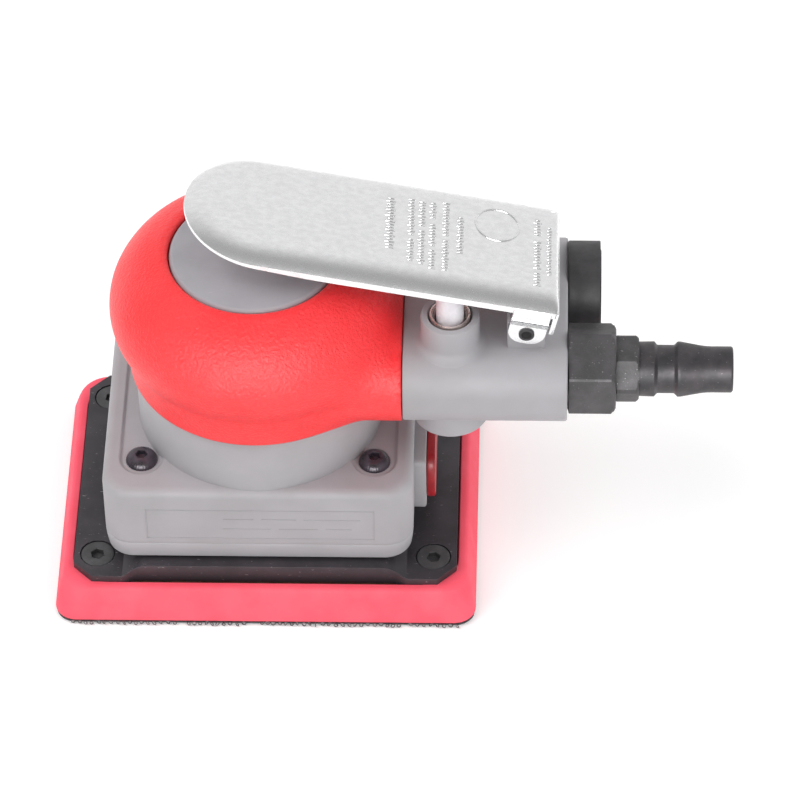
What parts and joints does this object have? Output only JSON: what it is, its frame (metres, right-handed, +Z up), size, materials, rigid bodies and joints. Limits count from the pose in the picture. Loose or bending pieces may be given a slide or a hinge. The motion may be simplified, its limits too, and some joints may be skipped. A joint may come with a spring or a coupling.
{
  "type": "orbital sander",
  "caption": "Air-powered palm orbital sander: flat rectangular pad under a boxed skirt, round rubber-covered motor body, side handle with air inlet and a sheet-metal press lever.",
  "frame": {"origin": "on the motor shaft's axis, in the plane of the pad's hook face", "axes": "+Z up along the motor shaft; +X along the pad's long side, towards the handle and the air inlet; -Y is the side with the valve"},
  "size_m": [0.1592, 0.075, 0.104],
  "materials": {
    "hook_sheet": "woven hook-and-loop sheet, matt black",
    "pad_foam": "closed-cell polyurethane foam, pink-red, satin skin",
    "backing_board": "glass-fibre board",
    "black_plate": "black anodised, lightly blasted, edges a little bright",
    "black_steel": "black oxide with a film of oil",
    "ground_steel": "ground and hardened",
    "vane_fibre": "phenolic cloth laminate",
    "cast_alloy": "machined casting",
    "grey_moulding": "glass-filled nylon, fine spark-eroded grain",
    "grip_rubber": "soft moulded rubber, bright red, satin",
    "black_rubber": "nitrile rubber, matt",
    "red_moulding": "moulded, dark red",
    "lever_steel": "bright plated sheet, fine grain along its length",
    "white_acetal": "turned acetal",
    "bright_steel": "polished",
    "brass": "turned",
    "black_moulding": "moulded, fine grain",
    "muffler_foam": "open-cell exhaust foam"
  },
  "bodies": {
    "housing": {"motor_housing": "grey_moulding", "grip_cover": "grip_rubber", "top_cap": "grey_moulding", "skirt": "grey_moulding", "skirt_screw_1": "black_steel", "skirt_screw_2": "black_steel", "skirt_screw_3": "black_steel", "skirt_screw_4": "black_steel", "isolator_post_1": "black_rubber", "isolator_post_2": "black_rubber", "isolator_post_3": "black_rubber", "isolator_post_4": "black_rubber", "port_plug": "red_moulding", "clamp_ring": "black_steel", "lower_end_plate": "cast_alloy", "upper_end_plate": "cast_alloy", "lower_bearing": "ground_steel", "upper_bearing": "ground_steel", "cylinder": "cast_alloy", "lever_pin": "black_steel", "valve_bush": "bright_steel", "seat_oring": "black_rubber", "valve_spring": "bright_steel", "inlet_bushing": "black_steel", "plug_nipple": "black_steel", "inlet_strainer": "ground_steel", "muffler_sleeve": "black_moulding", "muffler_foam": "muffler_foam"},
    "motor_rotor": {"crankshaft": "ground_steel", "rotor": "ground_steel", "vane_1": "vane_fibre", "vane_2": "vane_fibre", "vane_3": "vane_fibre", "vane_4": "vane_fibre", "vane_5": "vane_fibre", "spindle_bearing": "ground_steel"},
    "pad": {"base_plate": "black_plate", "pad_foam": "pad_foam", "pad_backing_board": "backing_board", "hook_face": "hook_sheet", "plate_screw_1": "black_steel", "plate_screw_2": "black_steel", "plate_screw_3": "black_steel", "plate_screw_4": "black_steel", "pad_spindle": "ground_steel", "spindle_screw": "black_steel"},
    "lever": {"lever": "lever_steel"},
    "valve": {"valve_pin": "white_acetal", "valve_poppet": "brass"},
    "regulator": {"regulator_dial": "black_moulding"}
  },
  "joints": [
    {"name": "rotor_spin", "type": "hinge", "parent": "housing", "child": "motor_rotor", "pos_m": [0, 0, 0.05], "axis": [0, 0, 1], "continuous": true},
    {"name": "pad_orbit", "type": "hinge", "parent": "motor_rotor", "child": "pad", "pos_m": [0.0012, 0, 0.02], "axis": [0, 0, 1], "continuous": true, "deforming": ["isolator_post_1", "isolator_post_2", "isolator_post_3", "isolator_post_4"]},
    {"name": "lever_press", "type": "hinge", "parent": "housing", "child": "lever", "pos_m": [0.06275, 0, 0.0782], "axis": [0, -1, 0], "range_deg": [0, 8], "stiffness_Nm_per_rad": 3, "springref_deg": -5.73},
    {"name": "valve_slide", "type": "slide", "parent": "housing", "child": "valve", "axis": [0, 0, -1], "range_m": [0, 0.0028], "deforming": ["valve_spring"]},
    {"name": "regulator_turn", "type": "hinge", "parent": "housing", "child": "regulator", "pos_m": [0.0452, -0.013, 0.049], "axis": [0, 0, 1], "range_deg": [0, 90]}
  ],
  "couplings": [
    {"joint": "pad_orbit", "follows": "rotor_spin", "ratio": -1},
    {"joint": "valve_slide", "follows": "lever_press", "m_per_rad": 0.0192}
  ]
}
